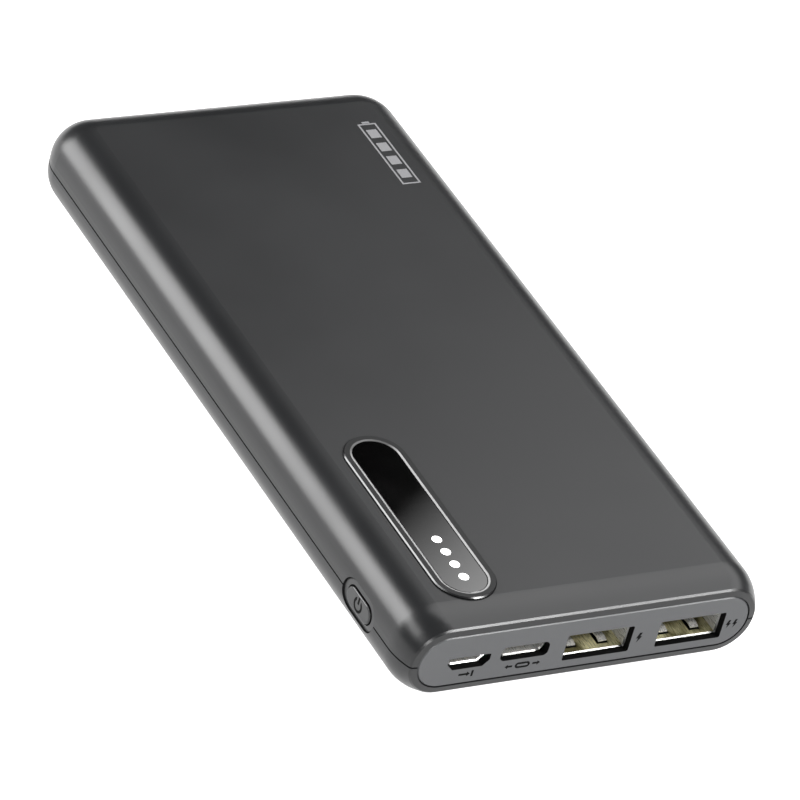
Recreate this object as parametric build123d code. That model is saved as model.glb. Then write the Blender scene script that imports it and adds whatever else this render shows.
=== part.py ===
"""Pocket power bank: two moulded half shells round two pouch cells and a socket board.

Millimetres. +X to the right seen from the socket end, +Y towards the plain rear end, +Z up.
The origin is on the ground under the middle of the body.
"""

from build123d import *
import math
import os

# ---- body ------------------------------------------------------------------------------
BODY_W = 70.0
BODY_L = 148.0
BODY_H = 16.1
EDGE_R = 7.0  # round of the long edges, above and below a narrow upright flat
REAR_CORNER_R = 8.2  # plan radius of the two rear corners
WALL = 1.6
PARTING_Z = 7.75
GROOVE_W = 0.3
GROOVE_DEPTH = 0.4
LIP_W = 0.6
LIP_H = 1.1
MID_Z = BODY_H / 2
FRONT_Y = -BODY_L / 2
REAR_Y = BODY_L / 2

# ---- nose: the shells draw in towards the socket end -----------------------------------
NOSE_L = 6.0
NOSE_INSET = 1.3
RIM_W = 1.4
RIM_DROP = 0.15  # how far the outer line of the rim band lies behind the panel face
RIM_BREAK = 0.3  # bevel between the nose and the rim band
NOSE_STATIONS = 5
PANEL_T = 1.3
PANEL_GAP = 0.08
PANEL_CHAMFER = 0.28
LEDGE_T = 1.7
LEDGE_OVERLAP = 1.0
CAVITY_FRONT_Y = FRONT_Y + PANEL_T + LEDGE_T

# ---- display ---------------------------------------------------------------------------
DISPLAY_X = -20.15
DISPLAY_Y = -46.85
LENS_W = 8.5
LENS_L = 40.6
LENS_T = 1.2
LENS_TOP_Z = BODY_H + 0.3
BEZEL_W = 11.6
BEZEL_L = 43.7
BEZEL_RISE = 0.42
BEZEL_CHAMFER = 0.2
BEZEL_SLOPE_W = 0.4  # plan width of the slope from the ring's top down to the lens
BEZEL_SKIRT_W = 9.9
BEZEL_SKIRT_L = 42.0
BEZEL_SEAT_W = 0.5
BEZEL_BOTTOM_Z = 14.5
LAMP_D = 1.75
LAMP_PITCH = 3.3
LAMP_COUNT = 4
LAMP_X = -20.08
LAMP_FIRST_Y = -63.05

# ---- side button -----------------------------------------------------------------------
BUTTON_Y = -57.1
BUTTON_Z = PARTING_Z
SURROUND_L = 10.9
SURROUND_H = 6.1
SURROUND_DISH = 0.35
CAP_L = 8.1
CAP_H = 3.7
CAP_GAP = 0.24
CAP_EDGE_R = 0.35
SURROUND_GAP = 0.14
PLAY = 0.05

# ---- sockets ---------------------------------------------------------------------------
MOUTH_Y = FRONT_Y + PANEL_T + PLAY
USB_A_X = (2.7, 20.95)
USB_A_Z = 7.25
USB_A_HOLE = (13.0, 5.4)
USB_A_SHELL = (13.1, 5.7, 14.0)
USB_A_WALL = 0.3
LEAD_IN = 0.22  # bevel round the inside of each socket's mouth
USB_C_X = -11.75
USB_C_Z = 7.9
USB_C_HOLE = (9.3, 2.9, 1.0)
USB_C_SHELL = (8.94, 3.26, 7.35)
USB_C_WALL = 0.3
MICRO_X = -22.45
MICRO_Z = 7.35
MICRO_HOLE = (8.1, 2.5, 1.2)
MICRO_SHELL = (7.6, 2.5, 1.15)
MICRO_DEPTH = 5.4
MICRO_WALL = 0.25
MICRO_LEAD_IN = 0.18

# ---- sunk marks ------------------------------------------------------------------------
MARK_DEPTH = 0.12
MARK_FILL_T = 0.1
MARK_LINE = 0.42
POWER_LINE = 0.5
BOLTS = ((10.7, 7.2, 2.1), (28.5, 7.2, 1.8), (29.8, 7.2, 1.8))  # x, z and height of each
POWER_MARK_R = 1.4
INPUT_MARK_PLACE = (-22.3, 4.8)
TWO_WAY_MARK_PLACE = (-11.5, 5.0)

# ---- boards and cells ------------------------------------------------------------------
BOARD_TOP_Z = 5.89
BOARD_T = 1.0
BOARD_HALF_W = 30.9
BOARD_FRONT_Y = CAVITY_FRONT_Y + 0.2
BOARD_REAR_Y = -47.0
SCREW_X = 29.2
SCREW_YS = (-66.5, -48.9)
SCREW_D = 1.6
SCREW_HEAD_D = 2.6
SCREW_HEAD_H = 0.8
POST_D = 3.2

CELL_W = 60.0
CELL_T = 5.8
CELL_FRONT_Y = -37.0
CELL_REAR_Y = 68.0
CELL_EDGE_R = 1.5
TERRACE_L = 5.0
TERRACE_T = 0.8
FOAM_T = 0.4
BOND_T = 0.2
CELL_LOWER_Z = WALL + FOAM_T
CELL_UPPER_Z = CELL_LOWER_Z + CELL_T + BOND_T

GUARD_BOARD = (36.0, 3.8, 0.8)  # protection board, between the two cell terraces
GUARD_BOARD_Y = -40.3
GUARD_BOARD_Z = CELL_LOWER_Z + CELL_T + BOND_T / 2
TAB_X = 14.0
TAB_W = 4.0
TAB_T = 0.15
LEAD_X = 3.0
LEAD_D = 1.3


# ---- helpers ---------------------------------------------------------------------------
def block(x_low, x_high, y_low, y_high, z_low, z_high):
    """A box given by its two corners."""
    centre = Pos((x_low + x_high) / 2, (y_low + y_high) / 2, (z_low + z_high) / 2)
    return centre * Box(x_high - x_low, y_high - y_low, z_high - z_low)


def centred_block(x, y, width, length, z_low, z_high):
    """A box centred on x and y."""
    return block(x - width / 2, x + width / 2, y - length / 2, y + length / 2, z_low, z_high)


def upright(radius, x, y, z_low, z_high):
    """A round post between two heights."""
    return Pos(x, y, (z_low + z_high) / 2) * Cylinder(radius, z_high - z_low)


def stadium(length, height):
    """A slot outline with full round ends."""
    return SlotOverall(length, height) if length > height else SlotOverall(height, length, 90)


def flat_plane(z):
    """A horizontal sketch plane."""
    return Plane(origin=(0, 0, z))


def front_plane(y, x=0.0, z=MID_Z):
    """A plane facing the socket end, with its own axes along +X and +Z."""
    return Plane(origin=(x, y, z), x_dir=(1, 0, 0), z_dir=(0, -1, 0))


def side_plane(x):
    """A plane facing out of the left flank at the button, with its own axes along -Y and +Z."""
    return Plane(origin=(x, BUTTON_Y, BUTTON_Z), x_dir=(0, -1, 0), z_dir=(-1, 0, 0))


def forward(face, y_front, y_back, x=0.0, z=MID_Z):
    """A prism of one front-facing outline between two stations along Y."""
    return extrude(front_plane(y_back, x, z) * face, y_back - y_front)


def inward(face, x_outer, x_inner):
    """A prism of one flank-facing outline between two depths along X."""
    return extrude(side_plane(x_inner) * face, x_inner - x_outer)


def solids(*pieces):
    """Several separate solids as one node."""
    return Compound(children=[solid for piece in pieces for solid in piece.solids()])


# ---- shells ----------------------------------------------------------------------------
def rounded_block(inset, y_low):
    """The body's main volume, drawn in by inset, with a square front end at y_low."""
    half_w = BODY_W / 2 - inset
    body = block(-half_w, half_w, y_low, REAR_Y - inset, inset, BODY_H - inset)
    body = fillet(body.edges().filter_by(Axis.Z).group_by(Axis.Y)[-1], REAR_CORNER_R - inset)
    flats = body.faces().sort_by(Axis.Z)
    rims = [e for f in (flats[0], flats[-1]) for e in f.edges() if e.center().Y > y_low + 0.1]
    return fillet(rims, EDGE_R - inset)


def nose_section(inset):
    """Front-facing outline of the nose, drawn in by inset; it is nearly a stadium at the rim."""
    half_h = MID_Z - inset
    flat = max((MID_Z - EDGE_R) * (1 - 0.9 * inset / NOSE_INSET), 0.1)
    return RectangleRounded(BODY_W - 2 * inset, 2 * half_h, half_h - flat)


def nose():
    """The all-round draw-in: one arc tangent to the body, a bevel, then the narrow rim band."""
    run = NOSE_L - RIM_DROP - RIM_BREAK
    radius = (run**2 + NOSE_INSET**2) / (2 * NOSE_INSET)
    turn = math.asin(run / radius)
    sections = []
    for station in range(NOSE_STATIONS):
        angle = turn * station / (NOSE_STATIONS - 1)
        y = FRONT_Y + NOSE_L - radius * math.sin(angle)
        sections.append(front_plane(y) * nose_section(radius * (1 - math.cos(angle))))
    edge = front_plane(FRONT_Y + RIM_DROP) * nose_section(NOSE_INSET + RIM_BREAK)
    rim = front_plane(FRONT_Y) * nose_section(NOSE_INSET + RIM_W)
    return loft(sections) + loft([sections[-1], edge], ruled=True) + loft([edge, rim], ruled=True)


def body_plan(inset):
    """Horizontal outline of the body at the parting line, drawn in by inset."""
    half_w = BODY_W / 2 - inset
    nose_half_w = half_w - NOSE_INSET
    nose_y = FRONT_Y + RIM_DROP + inset
    bend_y = FRONT_Y + NOSE_L
    rear = REAR_Y - inset
    corner = REAR_CORNER_R - inset
    sides = Polyline(
        (-nose_half_w, nose_y),
        (nose_half_w, nose_y),
        (half_w, bend_y),
        (half_w, rear),
        (-half_w, rear),
        (-half_w, bend_y),
        close=True,
    )
    plan = make_face(sides)
    return fillet(plan.vertices().group_by(Axis.Y)[-1], corner)


def ring_slab(outer_inset, inner_inset, z_low, z_high):
    """A band that follows the body's outline between two insets and two heights."""
    ring = body_plan(outer_inset) - body_plan(inner_inset)
    return extrude(flat_plane(z_low) * ring, z_high - z_low)


def panel_outline(margin):
    """Outline of the front panel, drawn in by margin."""
    half_w = BODY_W / 2 - NOSE_INSET - RIM_W - margin
    half_h = MID_Z - NOSE_INSET - RIM_W - margin
    return RectangleRounded(2 * half_w, 2 * half_h, half_h - 0.1)


def hollow_body():
    """Both shells as one piece, before they are parted."""
    body = rounded_block(0.0, FRONT_Y + NOSE_L) + nose()
    body -= rounded_block(WALL, CAVITY_FRONT_Y)
    body -= forward(panel_outline(0.0), FRONT_Y - 1.0, FRONT_Y + PANEL_T)
    body -= forward(panel_outline(LEDGE_OVERLAP), FRONT_Y, CAVITY_FRONT_Y + 1.0)
    groove = extrude(flat_plane(PARTING_Z - GROOVE_W / 2) * Rectangle(2 * BODY_W, 2 * BODY_L), GROOVE_W)
    groove -= extrude(flat_plane(PARTING_Z - GROOVE_W) * body_plan(GROOVE_DEPTH), 2 * GROOVE_W)
    body -= groove
    opening = stadium(SURROUND_L + 2 * SURROUND_GAP, SURROUND_H + 2 * SURROUND_GAP)
    return body - inward(opening, -BODY_W, -32.0)


def half_space(z_low, z_high):
    """A slab that takes in everything between two heights."""
    return block(-BODY_W, BODY_W, -BODY_L, BODY_L, z_low, z_high)


def lip_band(clearance):
    """The bottom shell's locating lip; a clearance grows it into the top shell's rebate."""
    outer = WALL - LIP_W - clearance
    band = ring_slab(outer, WALL + 1.0, PARTING_Z - 0.5, PARTING_Z + LIP_H + clearance)
    keep = block(-BODY_W, BODY_W, CAVITY_FRONT_Y + 0.6 - clearance, BODY_L, 0, BODY_H)
    band &= keep
    room = SURROUND_L / 2 + 2.0 - clearance
    return band - block(-BODY_W, -30.0, BUTTON_Y - room, BUTTON_Y + room, 0, BODY_H)


def make_bottom_shell(body):
    shell = body & half_space(-1.0, PARTING_Z)
    lip = lip_band(0.0) - rounded_block(WALL, CAVITY_FRONT_Y)
    shell += lip
    for x in (-SCREW_X, SCREW_X):
        for y in SCREW_YS:
            shell += upright(POST_D / 2, x, y, WALL - 0.3, BOARD_TOP_Z - BOARD_T)
            shell -= upright(SCREW_D / 2, x, y, WALL + 0.4, BODY_H)
    for side in (-1, 1):
        for y in (-25.0, 10.0, 45.0):
            inner = side * (CELL_W / 2 + 0.4)
            outer = side * (BODY_W / 2 - WALL + 0.2)
            rib = block(min(inner, outer), max(inner, outer), y - 0.6, y + 0.6, WALL, PARTING_Z - 0.2)
            shell += rib & rounded_block(WALL / 2, CAVITY_FRONT_Y)
    return shell


def make_top_shell(body):
    shell = body & half_space(PARTING_Z, BODY_H + 1.0)
    shell -= lip_band(0.1)
    opening = stadium(BEZEL_SKIRT_L + 2 * PLAY, BEZEL_SKIRT_W + 2 * PLAY)
    shell -= display_prism(opening, WALL + 2.0, BODY_H + 1.0)
    return shell


# ---- sunk marks ------------------------------------------------------------------------
def polygon(*points):
    return make_face(Polyline(*points, close=True))


def power_mark():
    """Ring open at the top, with a bar through the opening."""
    ring = Circle(POWER_MARK_R) - Circle(POWER_MARK_R - POWER_LINE)
    ring -= Pos(0, POWER_MARK_R) * Rectangle(2.8 * POWER_LINE, POWER_MARK_R)
    return ring + Pos(0, 0.6 * POWER_MARK_R) * Rectangle(POWER_LINE, POWER_MARK_R)


def bolt_mark(height):
    outline = (
        (-0.02, 0.5),
        (0.24, 0.5),
        (0.1, 0.12),
        (0.3, 0.12),
        (-0.14, -0.5),
        (-0.06, -0.06),
        (-0.26, -0.06),
    )
    return polygon(*[(x * height, z * height) for x, z in outline])


def arrow(length, head):
    """An arrow along +X, centred on its own middle."""
    shaft = Pos(-head / 2, 0) * Rectangle(length - head, MARK_LINE)
    neck = length / 2 - head
    return shaft + polygon((neck, head * 0.8), (neck, -head * 0.8), (length / 2, 0))


def input_mark():
    """An arrow into a bar."""
    return Pos(-0.35, 0) * arrow(2.2, 0.65) + Pos(1.15, 0) * Rectangle(MARK_LINE, 1.3)


def two_way_mark():
    """A slot between an arrow out and an arrow in."""
    slot = stadium(2.9, 1.25) - stadium(2.9 - 2 * MARK_LINE, 1.25 - 2 * MARK_LINE)
    return slot + Pos(-2.7, 0) * Rot(0, 0, 180) * arrow(1.5, 0.6) + Pos(2.7, 0) * arrow(1.5, 0.6)


def panel_marks(depth_from, depth_to):
    """Every mark of the front panel as prisms between two depths behind its face."""
    places = [(bolt_mark(height), (x, z)) for x, z, height in BOLTS]
    places += [(input_mark(), INPUT_MARK_PLACE), (two_way_mark(), TWO_WAY_MARK_PLACE)]
    cut = (FRONT_Y + depth_from, FRONT_Y + depth_to)
    return [forward(mark, *cut, x, z) for mark, (x, z) in places]


def make_panel_mark_fill():
    return solids(*panel_marks(MARK_DEPTH - MARK_FILL_T, MARK_DEPTH))


def make_button_mark_fill():
    face_x = -BODY_W / 2
    return inward(power_mark(), face_x + MARK_DEPTH - MARK_FILL_T, face_x + MARK_DEPTH)


# ---- front panel -----------------------------------------------------------------------
def micro_outline(width, height, slant):
    """Micro-USB outline, wide side up, with its two lower corners cut off."""
    half_w = width / 2
    half_h = height / 2
    return polygon(
        (-half_w + slant, -half_h),
        (half_w - slant, -half_h),
        (half_w, -half_h + slant),
        (half_w, half_h),
        (-half_w, half_h),
        (-half_w, -half_h + slant),
    )


def make_front_panel():
    panel = forward(panel_outline(PANEL_GAP), FRONT_Y, FRONT_Y + PANEL_T)
    front_edges = panel.faces().sort_by(Axis.Y)[0].edges()
    panel = chamfer(front_edges, PANEL_CHAMFER)
    cut = (FRONT_Y - 1.0, FRONT_Y + PANEL_T + 1.0)
    for x in USB_A_X:
        panel -= forward(RectangleRounded(*USB_A_HOLE, 0.35), *cut, x, USB_A_Z)
    panel -= forward(RectangleRounded(*USB_C_HOLE), *cut, USB_C_X, USB_C_Z)
    micro = fillet(micro_outline(*MICRO_HOLE).vertices(), 0.3)
    panel -= forward(micro, *cut, MICRO_X, MICRO_Z)
    for mark in panel_marks(-1.0, MARK_DEPTH):
        panel -= mark
    return panel


# ---- display ---------------------------------------------------------------------------
def display_plane(z):
    """A horizontal plane at the display, with its own first axis along +Y."""
    return Plane(origin=(DISPLAY_X, DISPLAY_Y, z), x_dir=(0, 1, 0), z_dir=(0, 0, 1))


def display_prism(face, z_low, z_high):
    """A prism at the display, whose outline's long side runs along Y."""
    return extrude(display_plane(z_low) * face, z_high - z_low)


def lamp_ys():
    return [LAMP_FIRST_Y + LAMP_PITCH * index for index in range(LAMP_COUNT)]


def make_display_bezel():
    ring = display_prism(stadium(BEZEL_L, BEZEL_W), BODY_H, BODY_H + BEZEL_RISE)
    ring = chamfer(ring.faces().sort_by(Axis.Z)[-1].edges(), BEZEL_CHAMFER)
    ring += display_prism(stadium(BEZEL_SKIRT_L, BEZEL_SKIRT_W), BEZEL_BOTTOM_Z, BODY_H)
    pocket = stadium(LENS_L + 2 * PLAY, LENS_W + 2 * PLAY)
    ring -= display_prism(pocket, LENS_TOP_Z - LENS_T, BODY_H + 1.0)
    slope_top = stadium(LENS_L + 2 * BEZEL_SLOPE_W, LENS_W + 2 * BEZEL_SLOPE_W)
    slope = [display_plane(LENS_TOP_Z) * pocket, display_plane(BODY_H + BEZEL_RISE) * slope_top]
    ring -= loft(slope, ruled=True)
    window = stadium(LENS_L - 2 * BEZEL_SEAT_W, LENS_W - 2 * BEZEL_SEAT_W)
    return ring - display_prism(window, BEZEL_BOTTOM_Z - 1.0, BODY_H)


def make_display_lens():
    lens = display_prism(stadium(LENS_L, LENS_W), LENS_TOP_Z - LENS_T, LENS_TOP_Z)
    lens = fillet(lens.faces().sort_by(Axis.Z)[-1].edges(), 0.15)
    for y in lamp_ys():
        lens -= upright(LAMP_D / 2 + 0.02, LAMP_X, y, LENS_TOP_Z - 2 * LENS_T, BODY_H + 1.0)
    return lens


def make_charge_windows():
    return solids(*[upright(LAMP_D / 2, LAMP_X, y, LENS_TOP_Z - LENS_T, LENS_TOP_Z) for y in lamp_ys()])


LIGHT_BOX_TOP_Z = LENS_TOP_Z - LENS_T - PLAY
LED_H = 0.6


def make_light_box():
    """Black housing that keeps the four lamps apart, from the board to the lens."""
    middle_y = sum(lamp_ys()) / LAMP_COUNT
    box = centred_block(LAMP_X, middle_y, 6.6, 13.6, BOARD_TOP_Z, LIGHT_BOX_TOP_Z)
    box = fillet(box.edges().filter_by(Axis.Z), 1.0)
    for y in lamp_ys():
        box -= upright(1.0, LAMP_X, y, BOARD_TOP_Z - 1.0, BODY_H)
        box -= centred_block(LAMP_X, y, 2.6, 2.4, BOARD_TOP_Z - 1.0, BOARD_TOP_Z + 2 * LED_H)
    return box


def make_light_pipes():
    low = BOARD_TOP_Z + 2 * LED_H
    return solids(*[upright(0.98, LAMP_X, y, low, LIGHT_BOX_TOP_Z) for y in lamp_ys()])


def make_status_leds():
    high = BOARD_TOP_Z + LED_H
    return solids(*[centred_block(LAMP_X, y, 1.6, 0.8, BOARD_TOP_Z, high) for y in lamp_ys()])


# ---- side button -----------------------------------------------------------------------
FLANGE_OUTER_X = -BODY_W / 2 + 2.35  # where the surround's inner flange starts
FLANGE_T = 0.5
CAP_FLANGE_X = FLANGE_OUTER_X + FLANGE_T + PLAY
SWITCH_X = -30.7
SWITCH_D = 3.2
SWITCH_L = 5.0
PLUNGER_TIP_X = CAP_FLANGE_X + FLANGE_T + PLAY


def make_button_surround(outer_body):
    ring = inward(stadium(SURROUND_L, SURROUND_H), -BODY_W / 2 - 1.0, FLANGE_OUTER_X)
    ring &= Pos(SURROUND_DISH, 0, 0) * outer_body
    ring += inward(stadium(SURROUND_L + 1.0, SURROUND_H + 0.8), FLANGE_OUTER_X, FLANGE_OUTER_X + FLANGE_T)
    hole = stadium(CAP_L + 2 * CAP_GAP, CAP_H + 2 * CAP_GAP)
    return ring - inward(hole, -BODY_W, -BODY_W / 2 + 5.0)


def make_power_button():
    cap = inward(stadium(CAP_L, CAP_H), -BODY_W / 2, CAP_FLANGE_X)
    cap = fillet(cap.faces().sort_by(Axis.X)[0].edges(), CAP_EDGE_R)
    cap -= inward(power_mark(), -BODY_W / 2 - 1.0, -BODY_W / 2 + MARK_DEPTH)
    return cap + inward(stadium(CAP_L + 1.4, CAP_H + 1.3), CAP_FLANGE_X, CAP_FLANGE_X + FLANGE_T)


def make_switch_body():
    inner_x = SWITCH_X + SWITCH_D
    low_y = BUTTON_Y - SWITCH_L / 2
    body = block(SWITCH_X, inner_x, low_y, low_y + SWITCH_L, BOARD_TOP_Z, BOARD_TOP_Z + 3.5)
    pocket = RectangleRounded(3.0, 2.0, 0.5)
    return body - inward(pocket, SWITCH_X - 1.0, SWITCH_X + 1.4)


def make_switch_plunger():
    plunger = inward(RectangleRounded(2.6, 1.6, 0.4), PLUNGER_TIP_X, SWITCH_X + 0.9)
    return fillet(plunger.faces().sort_by(Axis.X)[0].edges(), 0.15)


# ---- sockets ---------------------------------------------------------------------------
def usb_a_finger(x, root_z, rise):
    """A sprung strip that bows from the socket's wall into its opening."""
    tip_y = MOUTH_Y + 1.6
    crest_y = tip_y + 1.0
    root_y = crest_y + 4.6
    sheet = USB_A_WALL * 0.8 * (1 if rise > 0 else -1)
    points = [
        (root_y, root_z),
        (crest_y, root_z + rise),
        (tip_y, root_z + 0.55 * rise),
        (tip_y, root_z + 0.55 * rise - sheet),
        (crest_y, root_z + rise - sheet),
        (root_y, root_z - sheet),
    ]
    side = polygon(*points)
    profile = Plane(origin=(x - 0.8, 0, 0), x_dir=(0, 1, 0), z_dir=(1, 0, 0)) * side
    return extrude(profile, 1.6)


def lead_in(wide, narrow, x, z):
    """The tapered space at a mouth, from its wide outline to the narrow one."""
    faces = [front_plane(MOUTH_Y, x, z) * wide, front_plane(MOUTH_Y + LEAD_IN, x, z) * narrow]
    return loft(faces, ruled=True)


def make_usb_a_shell(x):
    width, height, depth = USB_A_SHELL
    rear = MOUTH_Y + depth
    shell = forward(RectangleRounded(width, height, 0.5), MOUTH_Y, rear, x, USB_A_Z)
    inner = RectangleRounded(width - 2 * USB_A_WALL, height - 2 * USB_A_WALL, 0.3)
    shell -= forward(inner, MOUTH_Y - 1.0, rear + 1.0, x, USB_A_Z)
    wide = RectangleRounded(width - 2 * USB_A_WALL + 2 * LEAD_IN, height - 2 * USB_A_WALL + 2 * LEAD_IN, 0.4)
    shell -= lead_in(wide, inner, x, USB_A_Z)
    floor_z = USB_A_Z - height / 2 + USB_A_WALL
    roof_z = USB_A_Z + height / 2 - USB_A_WALL
    for offset in (-3.1, 3.1):
        slot = (x + offset - 1.2, x + offset + 1.2, MOUTH_Y + 1.2, MOUTH_Y + 7.2)
        shell -= block(*slot, floor_z - 1.0, roof_z + 1.0)
        shell += usb_a_finger(x + offset, floor_z, 0.6)
        shell += usb_a_finger(x + offset, roof_z, -0.35)
    for side in (-1, 1):
        low = x + side * width / 2
        high = low + side * 0.9
        for y in (MOUTH_Y + 3.0, MOUTH_Y + 9.0):
            foot = (min(low, high) - 0.1, max(low, high) + 0.1, y, y + 1.6)
            shell += block(*foot, BOARD_TOP_Z, BOARD_TOP_Z + 0.3)
    return shell


USB_A_TONGUE_T = 1.84
USB_A_TONGUE_W = 11.1
USB_A_TONGUE_LOW_Z = USB_A_Z + USB_A_SHELL[1] / 2 - USB_A_WALL - 0.62 - USB_A_TONGUE_T
USB_A_TONGUE_TIP_Y = MOUTH_Y + 1.4
USB_A_BLOCK_L = 4.0


def make_usb_a_tongue(x):
    width, height, depth = USB_A_SHELL
    rear = MOUTH_Y + depth
    high = USB_A_TONGUE_LOW_Z + USB_A_TONGUE_T
    half_w = USB_A_TONGUE_W / 2
    tongue = block(x - half_w, x + half_w, USB_A_TONGUE_TIP_Y, rear, USB_A_TONGUE_LOW_Z, high)
    tip_edges = tongue.faces().sort_by(Axis.Y)[0].edges().filter_by(Axis.X)
    tongue = chamfer(tip_edges, 0.4)
    filler = RectangleRounded(width - 2 * USB_A_WALL - 0.04, height - 2 * USB_A_WALL - 0.04, 0.28)
    return tongue + forward(filler, rear - USB_A_BLOCK_L, rear, x, USB_A_Z)


def make_usb_a_contacts(x):
    """Four gold strips along the underside of the tongue."""
    strips = []
    low = USB_A_TONGUE_LOW_Z - 0.12
    for offset in (-3.5, -1.0, 1.0, 3.5):
        y_low = USB_A_TONGUE_TIP_Y + 0.8
        y_high = MOUTH_Y + USB_A_SHELL[2] - USB_A_BLOCK_L
        strips.append(block(x + offset - 0.5, x + offset + 0.5, y_low, y_high, low, USB_A_TONGUE_LOW_Z))
    return solids(*strips)


def make_usb_c_shell():
    width, height, depth = USB_C_SHELL
    rear = MOUTH_Y + depth
    shell = forward(stadium(width, height), MOUTH_Y, rear, USB_C_X, USB_C_Z)
    for side in (-1, 1):
        outer = USB_C_X + side * width / 2
        inner = outer - side * USB_C_WALL
        for y in (MOUTH_Y + 2.6, rear - 1.8):
            shell += block(min(outer, inner), max(outer, inner), y, y + 1.0, BOARD_TOP_Z, USB_C_Z)
    inner = stadium(width - 2 * USB_C_WALL, height - 2 * USB_C_WALL)
    shell -= forward(inner, MOUTH_Y - 1.0, rear + 1.0, USB_C_X, USB_C_Z)
    wide = stadium(width - 2 * USB_C_WALL + 2 * LEAD_IN, height - 2 * USB_C_WALL + 2 * LEAD_IN)
    return shell - lead_in(wide, inner, USB_C_X, USB_C_Z)


USB_C_TONGUE = (6.7, 0.7)
USB_C_TONGUE_TIP_Y = MOUTH_Y + 0.7


def make_usb_c_tongue():
    width, height, depth = USB_C_SHELL
    rear = MOUTH_Y + depth
    tongue = forward(Rectangle(*USB_C_TONGUE), USB_C_TONGUE_TIP_Y, rear, USB_C_X, USB_C_Z)
    tongue = chamfer(tongue.faces().sort_by(Axis.Y)[0].edges().filter_by(Axis.X), 0.15)
    filler = stadium(width - 2 * USB_C_WALL - 0.04, height - 2 * USB_C_WALL - 0.04)
    tongue += forward(filler, rear - 1.7, rear, USB_C_X, USB_C_Z)
    return tongue + centred_block(USB_C_X, rear + 0.35, 7.6, 0.7, BOARD_TOP_Z, USB_C_Z + 1.3)


def make_usb_c_contacts():
    """Twelve contact strips on each face of the tongue."""
    strips = []
    half_t = USB_C_TONGUE[1] / 2
    for index in range(12):
        x = USB_C_X + 0.5 * (index - 5.5)
        for side in (-1, 1):
            face = USB_C_Z + side * half_t
            outer = face + side * 0.05
            y_low = USB_C_TONGUE_TIP_Y + 0.5
            strip = (x - 0.13, x + 0.13, y_low, y_low + 3.6, min(face, outer), max(face, outer))
            strips.append(block(*strip))
    return solids(*strips)


def make_micro_usb_shell():
    width, height, slant = MICRO_SHELL
    rear = MOUTH_Y + MICRO_DEPTH
    outline = fillet(micro_outline(width, height, slant).vertices(), 0.3)
    shell = forward(outline, MOUTH_Y, rear, MICRO_X, MICRO_Z)
    for side in (-1, 1):
        outer = MICRO_X + side * width / 2
        inner = outer - side * MICRO_WALL
        for y in (MOUTH_Y + 2.2, rear - 1.4):
            foot = (min(outer, inner), max(outer, inner), y, y + 1.0)
            shell += block(*foot, BOARD_TOP_Z, MICRO_Z + 0.5)
    wall = 2 * MICRO_WALL
    inner = fillet(micro_outline(width - wall, height - wall, slant - 0.1).vertices(), 0.15)
    shell -= forward(inner, MOUTH_Y - 1.0, rear + 1.0, MICRO_X, MICRO_Z)
    spread = 2 * MICRO_LEAD_IN
    wide = fillet(micro_outline(width - wall + spread, height - wall + spread, slant).vertices(), 0.2)
    return shell - lead_in(wide, inner, MICRO_X, MICRO_Z)


MICRO_TONGUE = (3.7, 0.6)
MICRO_TONGUE_Z = MICRO_Z + 0.35
MICRO_TONGUE_TIP_Y = MOUTH_Y + 0.9


def make_micro_usb_tongue():
    width, height, slant = MICRO_SHELL
    rear = MOUTH_Y + MICRO_DEPTH
    tongue = forward(Rectangle(*MICRO_TONGUE), MICRO_TONGUE_TIP_Y, rear, MICRO_X, MICRO_TONGUE_Z)
    margin = 2 * MICRO_WALL + 0.06
    filler = micro_outline(width - margin, height - margin, slant)
    tongue += forward(filler, rear - 1.3, rear, MICRO_X, MICRO_Z)
    return tongue


def make_micro_usb_contacts():
    """Five strips under the tongue."""
    strips = []
    top = MICRO_TONGUE_Z - MICRO_TONGUE[1] / 2
    for index in range(5):
        x = MICRO_X + 0.65 * (index - 2)
        y_low = MICRO_TONGUE_TIP_Y + 0.3
        y_high = MOUTH_Y + MICRO_DEPTH - 1.3
        strips.append(block(x - 0.17, x + 0.17, y_low, y_high, top - 0.1, top))
    return solids(*strips)


# ---- main board and what is on it ------------------------------------------------------
def make_main_board():
    low = BOARD_TOP_Z - BOARD_T
    board = block(-BOARD_HALF_W, BOARD_HALF_W, BOARD_FRONT_Y, BOARD_REAR_Y, low, BOARD_TOP_Z)
    board = fillet(board.edges().filter_by(Axis.Z).group_by(Axis.Y)[0], 1.0)
    half_w = USB_A_SHELL[0] / 2 + 0.2
    for x in USB_A_X:
        rear = MOUTH_Y + USB_A_SHELL[2] + 0.3
        board -= block(x - half_w, x + half_w, BOARD_FRONT_Y - 1.0, rear, low - 1.0, BOARD_TOP_Z + 1.0)
    for x in (-SCREW_X, SCREW_X):
        for y in SCREW_YS:
            board -= upright(SCREW_D / 2 + 0.1, x, y, low - 1.0, BOARD_TOP_Z + 1.0)
    return board


def make_board_screws():
    screws = []
    for x in (-SCREW_X, SCREW_X):
        for y in SCREW_YS:
            head = upright(SCREW_HEAD_D / 2, x, y, BOARD_TOP_Z, BOARD_TOP_Z + SCREW_HEAD_H)
            head = fillet(head.faces().sort_by(Axis.Z)[-1].edges(), 0.3)
            head -= centred_block(x, y, 1.5, 0.35, BOARD_TOP_Z + 0.4, BOARD_TOP_Z + 2.0)
            head -= centred_block(x, y, 0.35, 1.5, BOARD_TOP_Z + 0.4, BOARD_TOP_Z + 2.0)
            screws.append(head + upright(SCREW_D / 2 - 0.02, x, y, WALL + 0.8, BOARD_TOP_Z))
    return solids(*screws)


def make_controller_chip():
    chip = centred_block(13.5, -53.4, 6.0, 6.0, BOARD_TOP_Z, BOARD_TOP_Z + 0.9)
    return chip - upright(0.4, 11.4, -55.5, BOARD_TOP_Z + 0.8, BOARD_TOP_Z + 1.5)


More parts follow.
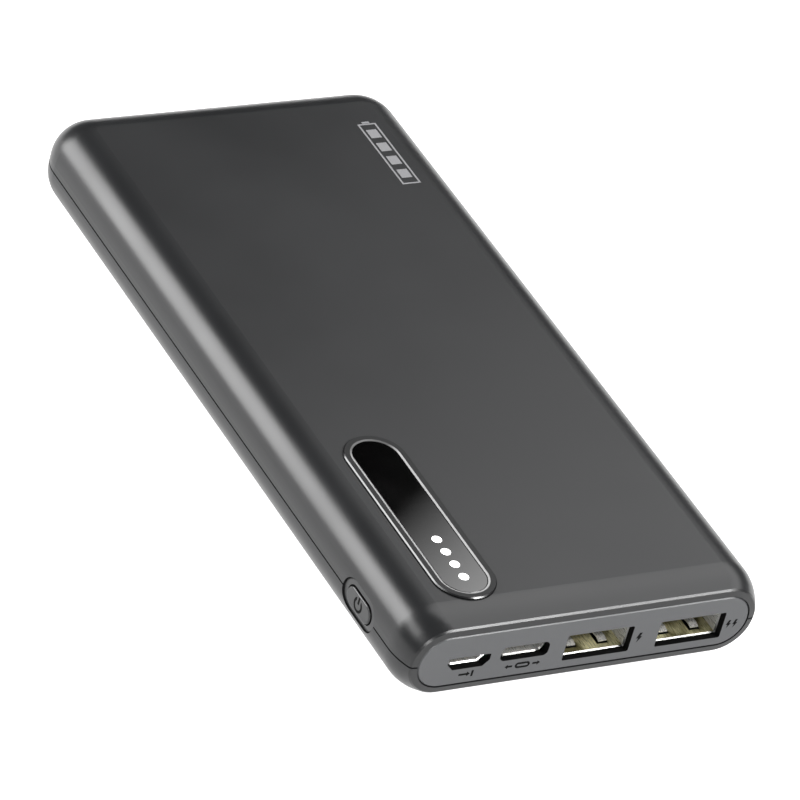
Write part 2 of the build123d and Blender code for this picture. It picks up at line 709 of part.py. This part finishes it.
def make_output_chip():
    """Eight-legged switch chip for the two large sockets."""
    x, y = 22.5, -53.4
    body = centred_block(x, y, 3.9, 4.9, BOARD_TOP_Z + 0.15, BOARD_TOP_Z + 1.55)
    for side in (-1, 1):
        for index in range(4):
            leg_y = y + 1.27 * (index - 1.5)
            body += centred_block(x + side * 2.3, leg_y, 1.4, 0.4, BOARD_TOP_Z, BOARD_TOP_Z + 0.3)
    return body


def make_power_inductors():
    coils = []
    for x in (-7.0, 3.2):
        coil = centred_block(x, -53.6, 7.0, 7.0, BOARD_TOP_Z, BOARD_TOP_Z + 3.2)
        coils.append(fillet(coil.edges().filter_by(Axis.Z), 0.9))
    return solids(*coils)


def make_capacitors():
    places = [(8.4, -50.0), (8.4, -52.2), (18.6, -50.0), (18.6, -52.2), (-12.6, -50.0), (-12.6, -52.2)]
    places += [(-12.6, -60.0), (-12.6, -62.2), (26.4, -50.0), (26.4, -52.2)]
    return solids(*[centred_block(x, y, 1.25, 1.0, BOARD_TOP_Z, BOARD_TOP_Z + 0.9) for x, y in places])


# ---- battery ---------------------------------------------------------------------------
def make_cell(z_low):
    """A flat pouch cell with its thin sealed terrace towards the board."""
    half_w = CELL_W / 2
    cell = block(-half_w, half_w, CELL_FRONT_Y, CELL_REAR_Y, z_low, z_low + CELL_T)
    cell = fillet(cell.edges(), CELL_EDGE_R)
    middle = z_low + CELL_T / 2
    front = CELL_FRONT_Y - TERRACE_L
    terrace = (-half_w + 2.0, half_w - 2.0, front, CELL_FRONT_Y + 2.0)
    return cell + block(*terrace, middle - TERRACE_T / 2, middle + TERRACE_T / 2)


def make_pad(width, y_low, y_high, z_low, thickness):
    return block(-width / 2, width / 2, y_low, y_high, z_low, z_low + thickness)


def tab_profile(cell_z, board_z):
    """Side outline of one tab: out of the terrace, along the gap and back onto the board."""
    out_y = CELL_FRONT_Y - TERRACE_L
    bend_y = out_y - 1.3
    end_y = GUARD_BOARD_Y - 0.5
    t = TAB_T if board_z > cell_z else -TAB_T
    points = [
        (out_y, cell_z),
        (bend_y, cell_z),
        (bend_y, board_z),
        (end_y, board_z),
        (end_y, board_z - t),
        (bend_y + TAB_T, board_z - t),
        (bend_y + TAB_T, cell_z + t),
        (out_y, cell_z + t),
    ]
    return polygon(*points)


def make_cell_tabs():
    half_t = GUARD_BOARD[2] / 2
    tabs = []
    for cell_low, board_face in ((CELL_LOWER_Z, -half_t), (CELL_UPPER_Z, half_t)):
        side = tab_profile(cell_low + CELL_T / 2, GUARD_BOARD_Z + board_face)
        for x in (-TAB_X, TAB_X):
            plane = Plane(origin=(x - TAB_W / 2, 0, 0), x_dir=(0, 1, 0), z_dir=(1, 0, 0))
            tabs.append(extrude(plane * side, TAB_W))
    return solids(*tabs)


def make_protection_board():
    width, length, thickness = GUARD_BOARD
    low = GUARD_BOARD_Z - thickness / 2
    return centred_block(0, GUARD_BOARD_Y, width, length, low, low + thickness)


def make_lead(x):
    """A short round lead from the protection board down to the main board."""
    high = GUARD_BOARD_Z + GUARD_BOARD[2] / 2 + LEAD_D / 2
    low = BOARD_TOP_Z + LEAD_D / 2
    points = [(x, -39.6, high), (x, -43.2, high), (x, -45.6, low), (x, -49.0, low)]
    route = FilletPolyline(*points, radius=1.6)
    section = Plane(origin=route @ 0, z_dir=route % 0) * Circle(LEAD_D / 2)
    return sweep(section, path=route)


# ---- the whole part --------------------------------------------------------------------
def make_parts():
    body = hollow_body()
    outer_body = rounded_block(0.0, FRONT_Y + NOSE_L)
    parts = {
        "top_shell": make_top_shell(body),
        "bottom_shell": make_bottom_shell(body),
        "front_panel": make_front_panel(),
        "panel_mark_fill": make_panel_mark_fill(),
        "display_bezel": make_display_bezel(),
        "display_lens": make_display_lens(),
        "charge_windows": make_charge_windows(),
        "light_box": make_light_box(),
        "light_pipes": make_light_pipes(),
        "status_leds": make_status_leds(),
        "button_surround": make_button_surround(outer_body),
        "power_button": make_power_button(),
        "button_mark_fill": make_button_mark_fill(),
        "button_switch_body": make_switch_body(),
        "button_switch_plunger": make_switch_plunger(),
        "micro_usb_shell": make_micro_usb_shell(),
        "micro_usb_tongue": make_micro_usb_tongue(),
        "micro_usb_contacts": make_micro_usb_contacts(),
        "usb_c_shell": make_usb_c_shell(),
        "usb_c_tongue": make_usb_c_tongue(),
        "usb_c_contacts": make_usb_c_contacts(),
        "main_board": make_main_board(),
        "board_screws": make_board_screws(),
        "controller_chip": make_controller_chip(),
        "output_chip": make_output_chip(),
        "power_inductors": make_power_inductors(),
        "capacitors": make_capacitors(),
        "battery_cell_lower": make_cell(CELL_LOWER_Z),
        "battery_cell_upper": make_cell(CELL_UPPER_Z),
        "cell_bond_pad": make_pad(50.0, -32.0, 63.0, CELL_LOWER_Z + CELL_T, BOND_T),
        "foam_pad_lower": make_pad(48.0, -30.0, 61.0, WALL, FOAM_T),
        "foam_pad_upper": make_pad(
            48.0, -30.0, 61.0, CELL_UPPER_Z + CELL_T, BODY_H - WALL - CELL_UPPER_Z - CELL_T
        ),
        "cell_tabs": make_cell_tabs(),
        "protection_board": make_protection_board(),
        "battery_lead_positive": make_lead(LEAD_X),
        "battery_lead_negative": make_lead(-LEAD_X),
    }
    for side, x in zip(("left", "right"), USB_A_X):
        parts[f"usb_a_{side}_shell"] = make_usb_a_shell(x)
        parts[f"usb_a_{side}_tongue"] = make_usb_a_tongue(x)
        parts[f"usb_a_{side}_contacts"] = make_usb_a_contacts(x)
    return parts


os.makedirs("parts", exist_ok=True)
for name, shape in make_parts().items():
    export_step(shape, f"parts/{name}.step")
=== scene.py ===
import math

import bmesh
import bpy
from mathutils import Matrix, Vector


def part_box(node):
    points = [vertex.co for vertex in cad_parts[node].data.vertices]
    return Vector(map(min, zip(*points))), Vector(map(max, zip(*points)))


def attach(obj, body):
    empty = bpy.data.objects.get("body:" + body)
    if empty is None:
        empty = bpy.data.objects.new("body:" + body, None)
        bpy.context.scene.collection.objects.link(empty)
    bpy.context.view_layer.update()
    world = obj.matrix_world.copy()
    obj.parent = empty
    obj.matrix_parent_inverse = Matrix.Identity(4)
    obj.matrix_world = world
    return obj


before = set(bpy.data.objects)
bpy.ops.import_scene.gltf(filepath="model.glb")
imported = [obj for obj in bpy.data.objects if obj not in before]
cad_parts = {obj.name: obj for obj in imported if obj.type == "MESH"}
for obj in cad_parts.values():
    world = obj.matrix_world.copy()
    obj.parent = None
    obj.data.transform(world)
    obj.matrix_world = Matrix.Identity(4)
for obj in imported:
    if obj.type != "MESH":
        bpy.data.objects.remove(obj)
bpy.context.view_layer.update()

MM = 0.001

# ---- camera: where it stands, what it looks at, how far it is rolled ----
CAMERA_AT = Vector((-0.52322, -0.70685, 0.61883))
CAMERA_AIM = Vector((-0.00136, -0.00749, 0.00805))
CAMERA_ROLL_DEG = 16.10
CAMERA_LENS_MM = 276.314

# ---- studio: a glowing floor in a dark room, and a white dome behind everything ----
FLOOR_HALF = 6.0
FLOOR_Z = -0.00005
FLOOR_GLOW = 1.02
FLOOR_GREYS = ((0.34, 0.34, 0.34), (0.38, 0.38, 0.38))
DOME_RADIUS = 7.0
DARK_ROOM = 0.012

# ---- the level key card over the object, whose rear end fades out ----
KEY_GLOW = 3.3
KEY_FADE = (1.0, 0.969)
KEY_CENTRE = (1.236, 0.2171)
KEY_TURN_DEG = 33.5
KEY_WIDTH = 1.7
KEY_LENGTH = 2.04
KEY_HEIGHT = 1.2

# ---- cards square to the object: glow, direction, distance, width, height ----
CARDS = {
    "edge": (13.6, (-0.63, 0.657, 0.375), 1.1, 0.5, 0.7),
    "strip": (44.0, (0.49, -0.573, 0.657), 1.25, 0.7, 0.22),
    "side": (7.0, (-0.80, 0.08, 0.60), 1.2, 0.9, 0.4),
    "near": (26.0, (-0.506, -0.751, 0.423), 1.3, 0.42, 0.2),
}

# ---- finishes shared by more than one material ----
CHARCOAL = (0.0098, 0.0101, 0.0107)
# near-black painted shade for the side walls of gaps and openings
WALL_SHADE_BLACK = (0.0015, 0.0015, 0.0015)
GRAIN_PER_M = 5200.0
BLOTCH_PER_M = 42.0
DRAWN_LINES_PER_M = (400.0, 9000.0, 9000.0)

# ---- the button's ring: half its straight run, its outer half height, its border of painted shade ----
RING_COLOUR = tuple(channel * 1.4 for channel in CHARCOAL)
RING_ROUGH = 0.34
RING_STRAIGHT = 2.4 * MM
RING_OUTER = 3.05 * MM
RING_BORDER = (0.24 * MM, 0.1 * MM)
# near-black painted shade for the ring's outer border, standing in for the shade of the gap round it
RING_SHADE_COLOUR = (0.001, 0.001, 0.001)
RING_BORDER_ROUGH = 0.8

# ---- socket sheet: tinted floor, brighter fingers just above it, lip at the mouth, darkened by painted shade on all but the micro socket ----
SHEET_T = 0.3 * MM
FINGER_CLEAR = 0.08 * MM
FLOOR_TINTS = ((0.17, 0.155, 0.07), (0.85, 0.8, 0.48))
FINGER_COLOUR = (0.8, 0.8, 0.78)
LIP_FRONT_Y = -72.44 * MM
LIP_REAR_Y = -72.38 * MM
BRIGHT_LIP = (0.5, 0.5, 0.5)
# a darker copy of the lip steel: painted shade on the lips of all but the micro socket
LIP_PAINTED_SHADE = (0.13, 0.13, 0.125)

# ---- display ring: which faces are the slope to the lens and which the outer bevel ----
SLOPE_NZ = (0.9, 0.985)
BEVEL_NZ = (0.5, 0.85)
SLOPE_LOW_Z = 16.3 * MM
# the slope's grey is a painted highlight at the front, fading to painted shade towards the rear
SLOPE_HIGHLIGHT_FADE_Y = (-30.5 * MM, -28.0 * MM)
SLOPE_HIGHLIGHT_GREYS = ((0.34, 0.34, 0.34), (0.06, 0.06, 0.06))

# ---- gap walls painted near black as shade: node, the axis its face looks along, and how little a wall may face it ----
SHADE_PAINTED_WALLS = (
    ("front_panel", 1, 0.5),
    ("power_button", 0, 0.3),
    ("button_surround", 0, 0.4),
    ("display_bezel", 2, 0.3),
)

# ---- printed battery sign on the lid: a frame with a cap and bars ----
SIGN_X = 24.45 * MM
SIGN_Y = 51.0 * MM
SIGN_LENGTH = 18.6 * MM
SIGN_WIDTH = 3.8 * MM
SIGN_LINE = 0.36 * MM
SIGN_T = 0.02 * MM
SIGN_TOP_Z = 16.1 * MM
SIGN_BARS = 4
SIGN_CAP_SHARE = 0.4
SIGN_CAP_HALF_LINES = 1.4
SIGN_END_LINES = 6
SIGN_BAR_GAP_LINES = 2.2
SIGN_BAR_SIDE_HALF_LINES = 4.6


# ---- material helpers ----
class Finish:
    """One procedural material: a Principled shader and the nodes that feed it."""

    def __init__(self, name):
        self.material = bpy.data.materials.new(name)
        self.material.use_nodes = True
        self.nodes = self.material.node_tree.nodes
        self.links = self.material.node_tree.links
        self.nodes.clear()
        self.shader = self.nodes.new("ShaderNodeBsdfPrincipled")
        output = self.nodes.new("ShaderNodeOutputMaterial")
        self.links.new(self.shader.outputs[0], output.inputs[0])
        self.place = self.nodes.new("ShaderNodeTexCoord").outputs["Object"]

    def fixed(self, **values):
        for name, value in values.items():
            self.shader.inputs[name.replace("_", " ")].default_value = value

    def stretched(self, x, y, z):
        node = self.nodes.new("ShaderNodeMapping")
        node.inputs["Scale"].default_value = (x, y, z)
        self.links.new(self.place, node.inputs["Vector"])
        return node.outputs[0]

    def noise(self, per_m, detail=3.0, place=None):
        node = self.nodes.new("ShaderNodeTexNoise")
        node.inputs["Scale"].default_value = per_m
        node.inputs["Detail"].default_value = detail
        self.links.new(place or self.place, node.inputs["Vector"])
        return node.outputs["Fac"]

    def axis(self, letter):
        node = self.nodes.new("ShaderNodeSeparateXYZ")
        self.links.new(self.place, node.inputs[0])
        return node.outputs[letter]

    def span(self, value, from_low, from_high, to_low, to_high):
        node = self.nodes.new("ShaderNodeMapRange")
        limits = (from_low, from_high, to_low, to_high)
        for name, limit in zip(("From Min", "From Max", "To Min", "To Max"), limits):
            node.inputs[name].default_value = limit
        self.links.new(value, node.inputs["Value"])
        return node.outputs[0]

    def blend(self, factor, first, second):
        node = self.nodes.new("ShaderNodeMix")
        node.data_type = "RGBA"
        self.links.new(factor, node.inputs[0])
        for socket, colour in ((node.inputs[6], first), (node.inputs[7], second)):
            if isinstance(colour, tuple):
                socket.default_value = (*colour, 1.0)
            else:
                self.links.new(colour, socket)
        return node.outputs[2]

    def math(self, operation, first, second=0.0):
        node = self.nodes.new("ShaderNodeMath")
        node.operation = operation
        for socket, value in zip(node.inputs, (first, second)):
            if isinstance(value, float):
                socket.default_value = value
            else:
                self.links.new(value, socket)
        return node.outputs[0]

    def to(self, name, output):
        self.links.new(output, self.shader.inputs[name])

    def bump(self, height, depth, strength=1.0):
        node = self.nodes.new("ShaderNodeBump")
        node.inputs["Strength"].default_value = strength
        node.inputs["Distance"].default_value = depth
        self.links.new(height, node.inputs["Height"])
        self.to("Normal", node.outputs[0])


def shade(colour, factor):
    return tuple(channel * factor for channel in colour)


def moulded(name, colour, rough, spread=0.05, grain=0.000004, grain_per_m=GRAIN_PER_M, ior=1.5):
    """Moulded plastic: spark-eroded grain, slow colour and gloss drift from handling."""
    finish = Finish(name)
    finish.fixed(IOR=ior)
    slow = finish.noise(BLOTCH_PER_M, 4.0)
    finish.to("Base Color", finish.blend(slow, shade(colour, 0.85), shade(colour, 1.18)))
    finish.to("Roughness", finish.span(slow, 0.3, 0.7, rough - spread, rough + spread))
    finish.bump(finish.noise(grain_per_m, 2.0), grain)
    return finish


def metal(name, colour, rough, drag=DRAWN_LINES_PER_M, metallic=1.0):
    """Bare metal with drawn lines along one axis and a slight tarnish."""
    finish = Finish(name)
    finish.fixed(Metallic=metallic)
    lines = finish.noise(1.0, 3.0, finish.stretched(*drag))
    tarnish = finish.noise(500.0, 4.0)
    finish.to("Base Color", finish.blend(tarnish, shade(colour, 0.8), colour))
    finish.to("Roughness", finish.span(lines, 0.3, 0.7, rough - 0.08, rough + 0.1))
    finish.bump(lines, 0.000004)
    return finish


def socket_metal(name, floor_z, lip):
    """Socket sheet: a tinted floor with dull patches, brighter fingers, and its lip at the mouth."""
    finish = Finish(name)
    finish.fixed(Metallic=0.7)
    lines = finish.noise(1.0, 3.0, finish.stretched(9000.0, 500.0, 9000.0))
    height = finish.span(finish.axis("Z"), floor_z, floor_z + FINGER_CLEAR, 0.0, 1.0)
    front = finish.span(finish.axis("Y"), LIP_FRONT_Y, LIP_REAR_Y, 1.0, 0.0)
    patches = finish.span(finish.noise(260.0, 2.0), 0.36, 0.64, 0.0, 1.0)
    floor = finish.blend(patches, *FLOOR_TINTS)
    sheet = finish.blend(height, floor, FINGER_COLOUR)
    finish.to("Base Color", finish.blend(front, sheet, lip))
    finish.to("Roughness", finish.span(lines, 0.3, 0.7, 0.22, 0.38))
    finish.bump(lines, 0.000004)
    return finish


def surround_finish():
    """The button's ring, with painted shade along its outer border, where the gap round it falls into shade.
    """
    low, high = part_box("button_surround")
    middle = (low + high) / 2
    finish = moulded("button_ring", RING_COLOUR, RING_ROUGH)
    along = finish.math("ABSOLUTE", finish.math("SUBTRACT", finish.axis("Y"), middle.y))
    beyond = finish.math("MAXIMUM", finish.math("SUBTRACT", along, RING_STRAIGHT), 0.0)
    rise = finish.math("SUBTRACT", finish.axis("Z"), middle.z)
    squares = [finish.math("POWER", part, 2.0) for part in (beyond, rise)]
    reach = finish.math("SQRT", finish.math("ADD", *squares))
    # painted shade: the ring turns near black towards its outer edge, in place of the gap's shade
    outer = finish.span(reach, *(RING_OUTER - inset for inset in RING_BORDER), 0.0, 1.0)
    finish.to("Base Color", finish.blend(outer, RING_COLOUR, RING_SHADE_COLOUR))
    finish.to("Roughness", finish.span(outer, 0.0, 1.0, RING_ROUGH, RING_BORDER_ROUGH))
    return finish


def lens_finish():
    """Smoked glossy window, with the faint haze of wiping."""
    return moulded("lens_black", (0.0003, 0.0003, 0.0003), 0.04, 0.02, 0.0000002, 900.0, 1.62)


def glowing(name, colour, strength):
    finish = moulded(name, (0.7, 0.7, 0.7), 0.35, 0.05, 0.000002)
    glow = finish.noise(700.0, 2.0)
    finish.to("Emission Color", finish.blend(glow, shade(colour, 0.94), colour))
    finish.fixed(Emission_Strength=strength)
    return finish


def clear(name):
    finish = moulded(name, (0.8, 0.8, 0.8), 0.12, 0.04, 0.000002)
    finish.fixed(Transmission_Weight=0.6)
    return finish


def circuit_board():
    finish = moulded("circuit_board", (0.012, 0.075, 0.035), 0.4, 0.06, 0.000006, 2600.0)
    copper = finish.noise(260.0, 0.0, finish.stretched(1.0, 0.35, 1.0))
    edge = finish.span(copper, 0.49, 0.51, 0.0, 1.0)
    finish.to("Base Color", finish.blend(edge, (0.010, 0.065, 0.030), (0.02, 0.12, 0.055)))
    return finish


def pouch():
    """Aluminium laminate with soft creases."""
    finish = metal("cell_pouch", (0.5, 0.51, 0.53), 0.36, (60.0, 60.0, 60.0), 0.85)
    finish.bump(finish.noise(120.0, 4.0), 0.00012, 0.5)
    return finish


def foam(name, colour):
    finish = moulded(name, colour, 0.9, 0.05, 0.00006, 1800.0)
    cells = finish.noise(1800.0, 2.0)
    finish.to("Base Color", finish.blend(cells, shade(colour, 0.5), shade(colour, 1.3)))
    return finish


def make_finishes():
    """A material for every slot of the record."""
    return {
        "shell": moulded("shell_charcoal", CHARCOAL, 0.31, 0.028, 0.000002, ior=1.41),
        "panel": moulded("panel_charcoal", shade(CHARCOAL, 4.4), 0.42),
        "bezel": moulded("bezel_charcoal", shade(CHARCOAL, 0.5), 0.4, 0.04, 0.000002, ior=1.36),
        "button": moulded("button_charcoal", shade(CHARCOAL, 1.2), 0.34),
        "mark_paint": moulded("mark_paint", (0.002, 0.002, 0.002), 0.7, 0.05, 0.000004, ior=1.15),
        "lens": lens_finish(),
        "lamp_window": glowing("lamp_window", (1.0, 1.0, 1.0), 2.5),
        "lamp": glowing("lamp", (1.0, 0.98, 0.95), 1.5),
        "light_pipe": clear("light_pipe"),
        "black_moulding": moulded("black_moulding", (0.012, 0.012, 0.012), 0.45),
        "tongue": moulded("tongue_black", (0.018, 0.018, 0.017), 0.4, 0.05, 0.000005),
        "contact_gold": metal("contact_gold", (0.83, 0.62, 0.25), 0.25),
        "circuit_board": circuit_board(),
        "chip": moulded("chip_epoxy", (0.015, 0.015, 0.016), 0.55, 0.05, 0.000008, 9000.0),
        "ferrite": moulded("ferrite", (0.05, 0.05, 0.052), 0.6, 0.08, 0.00002, 3000.0),
        "capacitor": moulded("capacitor_ceramic", (0.32, 0.22, 0.13), 0.35),
        "screw_steel": metal("screw_steel", (0.6, 0.6, 0.6), 0.3),
        "cell_pouch": pouch(),
        "foam": foam("foam", (0.05, 0.05, 0.055)),
        "adhesive": foam("adhesive", (0.3, 0.29, 0.26)),
        "tab_nickel": metal("tab_nickel", (0.66, 0.62, 0.55), 0.3),
        "lead_red": moulded("lead_red", (0.42, 0.02, 0.015), 0.45),
        "lead_black": moulded("lead_black", (0.012, 0.012, 0.012), 0.45),
    }


def dress_cad_nodes():
    """Give every node the finish of its slot, and the sockets and the ring their own."""
    finishes = make_finishes()
    for name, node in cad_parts.items():
        slot = node.data.materials[0].name.split(".")[0]
        if name == "button_surround":
            finish = surround_finish()
        elif slot == "socket_steel":
            floor_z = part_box(name)[0].z + SHEET_T + FINGER_CLEAR
            # the lips of all but the micro socket get the painted-shade grey
            lip = BRIGHT_LIP if name.startswith("micro") else LIP_PAINTED_SHADE
            finish = socket_metal(name + "_metal", floor_z, lip)
        else:
            finish = finishes[slot]
        node.data.materials.clear()
        node.data.materials.append(finish.material)


def finish_bezel_cuts():
    """The narrow slope down to the lens is a bare cut with a painted highlight, light grey at the front and
    fading to painted shade towards the rear; the outer bevel is polished.
    """
    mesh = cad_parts["display_bezel"].data
    cut = metal("bezel_slope_highlight", SLOPE_HIGHLIGHT_GREYS[0], 0.42, (900.0, 900.0, 900.0), 0.3)
    # painted highlight and shade: light grey at the front of the slope, dark grey towards the rear
    rear = cut.span(cut.axis("Y"), *SLOPE_HIGHLIGHT_FADE_Y, 0.0, 1.0)
    cut.to("Base Color", cut.blend(rear, *SLOPE_HIGHLIGHT_GREYS))
    mesh.materials.append(cut.material)
    polished = moulded("bezel_bevel", shade(CHARCOAL, 0.7), 0.22, 0.03, 0.000001, ior=1.6)
    mesh.materials.append(polished.material)
    for face in mesh.polygons:
        if face.center.z < SLOPE_LOW_Z:
            continue
        if SLOPE_NZ[0] < face.normal.z < SLOPE_NZ[1]:
            face.material_index = 1
        elif BEVEL_NZ[0] < face.normal.z < BEVEL_NZ[1]:
            face.material_index = 2


def paint_shade_on_walls():
    """The side walls of gaps and openings, painted near black as painted shade; the real walls are the same
    plastic.
    """
    # painted shade: these walls get a near-black finish in place of the shade inside the gaps
    wall_shade_finish = moulded("gap_wall_painted_shade", WALL_SHADE_BLACK, 0.6, 0.05, ior=1.2)
    for name, axis, steepest in SHADE_PAINTED_WALLS:
        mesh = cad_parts[name].data
        mesh.materials.append(wall_shade_finish.material)
        for face in mesh.polygons:
            if abs(face.normal[axis]) < steepest:
                face.material_index = len(mesh.materials) - 1


# ---- printed battery sign ----
def rectangle_loop(mesh, x, y, half_w, half_l, z):
    corners = ((-1, -1), (1, -1), (1, 1), (-1, 1))
    return [mesh.verts.new((x + sx * half_w, y + sy * half_l, z)) for sx, sy in corners]


def add_plate(mesh, x, y, half_w, half_l, z, thickness):
    low = rectangle_loop(mesh, x, y, half_w, half_l, z)
    high = rectangle_loop(mesh, x, y, half_w, half_l, z + thickness)
    mesh.faces.new(high)
    mesh.faces.new(low[::-1])
    for i in range(4):
        j = (i + 1) % 4
        mesh.faces.new((low[i], low[j], high[j], high[i]))


def add_sign():
    mesh = bmesh.new()
    half_w = SIGN_WIDTH / 2
    half_l = SIGN_LENGTH / 2
    line = SIGN_LINE / 2
    for side in (-1, 1):
        add_plate(mesh, SIGN_X + side * (half_w - line), SIGN_Y, line, half_l, SIGN_TOP_Z, SIGN_T)
        end_y = SIGN_Y + side * (half_l - line)
        add_plate(mesh, SIGN_X, end_y, half_w - 2 * line, line, SIGN_TOP_Z, SIGN_T)
    cap_y = SIGN_Y + half_l + 2 * line
    cap_w = half_w * SIGN_CAP_SHARE
    add_plate(mesh, SIGN_X, cap_y, cap_w, line * SIGN_CAP_HALF_LINES, SIGN_TOP_Z, SIGN_T)
    room = SIGN_LENGTH - SIGN_END_LINES * SIGN_LINE
    pitch = room / SIGN_BARS
    bar_w = half_w - SIGN_BAR_SIDE_HALF_LINES * line
    bar_l = pitch / 2 - SIGN_LINE * SIGN_BAR_GAP_LINES
    for i in range(SIGN_BARS):
        bar_y = SIGN_Y - room / 2 + pitch * (i + 0.5)
        add_plate(mesh, SIGN_X, bar_y, bar_w, bar_l, SIGN_TOP_Z, SIGN_T)
    data = bpy.data.meshes.new("battery_sign")
    mesh.to_mesh(data)
    mesh.free()
    sign = bpy.data.objects.new("battery_sign", data)
    bpy.context.scene.collection.objects.link(sign)
    ink = moulded("sign_ink", (0.15, 0.15, 0.155), 0.45, 0.05, 0.000004)
    data.materials.append(ink.material)
    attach(sign, "case")


# ---- studio: floor, dome seen only by the camera, and soft cards ----
def stage_sheet(name, width, length, material):
    """A flat sheet about its own middle, which belongs to the studio."""
    mesh = bmesh.new()
    mesh.faces.new(rectangle_loop(mesh, 0, 0, width / 2, length / 2, 0))
    data = bpy.data.meshes.new(name)
    mesh.to_mesh(data)
    mesh.free()
    data.materials.append(material)
    piece = bpy.data.objects.new(name, data)
    bpy.context.scene.collection.objects.link(piece)
    return piece


def glow_material(name, strength, axis=None, fade=(0.0, 1.0)):
    """Plain emission, or one that rises along an axis of the card's own box."""
    material = bpy.data.materials.new(name)
    material.use_nodes = True
    nodes = material.node_tree.nodes
    links = material.node_tree.links
    nodes.clear()
    glow = nodes.new("ShaderNodeEmission")
    glow.inputs["Strength"].default_value = strength
    output = nodes.new("ShaderNodeOutputMaterial")
    links.new(glow.outputs[0], output.inputs[0])
    if axis is not None:
        place = nodes.new("ShaderNodeTexCoord")
        split = nodes.new("ShaderNodeSeparateXYZ")
        ramp = nodes.new("ShaderNodeMapRange")
        ramp.inputs["From Min"].default_value = fade[0]
        ramp.inputs["From Max"].default_value = fade[1]
        ramp.inputs["To Max"].default_value = strength
        links.new(place.outputs["Generated"], split.inputs[0])
        links.new(split.outputs[axis], ramp.inputs["Value"])
        links.new(ramp.outputs[0], glow.inputs["Strength"])
    return material


def hide_from_camera(card):
    card.visible_camera = False
    card.visible_shadow = False


def add_floor():
    finish = Finish("floor_white")
    finish.to("Base Color", finish.blend(finish.noise(2.0), *FLOOR_GREYS))
    finish.fixed(Roughness=0.9, Emission_Color=(1.0, 1.0, 1.0, 1.0), Emission_Strength=FLOOR_GLOW)
    stage_sheet("floor", 2 * FLOOR_HALF, 2 * FLOOR_HALF, finish.material).location.z = FLOOR_Z


def add_dome():
    mesh = bmesh.new()
    bmesh.ops.create_uvsphere(mesh, u_segments=24, v_segments=12, radius=DOME_RADIUS)
    data = bpy.data.meshes.new("dome")
    mesh.to_mesh(data)
    mesh.free()
    data.materials.append(glow_material("dome_white", 1.0))
    dome = bpy.data.objects.new("dome", data)
    bpy.context.scene.collection.objects.link(dome)
    dome.visible_diffuse = False
    dome.visible_glossy = False
    dome.visible_transmission = False
    dome.visible_shadow = False


def card_facing(name, direction, distance, width, height, material):
    """A card square to the direction it stands in, seen from the object."""
    card = stage_sheet(name, width, height, material)
    back = -Vector(direction).normalized()
    turn = back.to_track_quat("Z", "Y").to_matrix().to_4x4()
    card.matrix_world = Matrix.Translation(-back * distance) @ turn
    hide_from_camera(card)


def add_key_card():
    """The level card over the object, turned about the upright."""
    card = stage_sheet("key_card", KEY_WIDTH, KEY_LENGTH, glow_material("key_glow", KEY_GLOW, "Y", KEY_FADE))
    card.location = (*KEY_CENTRE, KEY_HEIGHT)
    card.rotation_euler.z = math.radians(KEY_TURN_DEG)
    hide_from_camera(card)


def light_studio():
    world = bpy.data.worlds.new("dark_room")
    world.use_nodes = True
    background = world.node_tree.nodes["Background"]
    background.inputs["Color"].default_value = (1, 1, 1, 1)
    background.inputs["Strength"].default_value = DARK_ROOM
    bpy.context.scene.world = world
    add_floor()
    add_dome()
    add_key_card()
    for name, (glow, direction, distance, width, height) in CARDS.items():
        material = glow_material(name + "_glow", glow)
        card_facing(name + "_card", direction, distance, width, height, material)


def add_camera():
    data = bpy.data.cameras.new("camera")
    data.lens = CAMERA_LENS_MM
    data.sensor_width = 36.0
    camera = bpy.data.objects.new("camera", data)
    bpy.context.scene.collection.objects.link(camera)
    turn = (CAMERA_AIM - CAMERA_AT).to_track_quat("-Z", "Y").to_matrix()
    turn = turn @ Matrix.Rotation(math.radians(CAMERA_ROLL_DEG), 3, "Z")
    camera.matrix_world = Matrix.Translation(CAMERA_AT) @ turn.to_4x4()
    bpy.context.scene.camera = camera


dress_cad_nodes()
finish_bezel_cuts()
paint_shade_on_walls()
add_sign()
light_studio()
add_camera()
bpy.context.scene.view_settings.view_transform = "Standard"
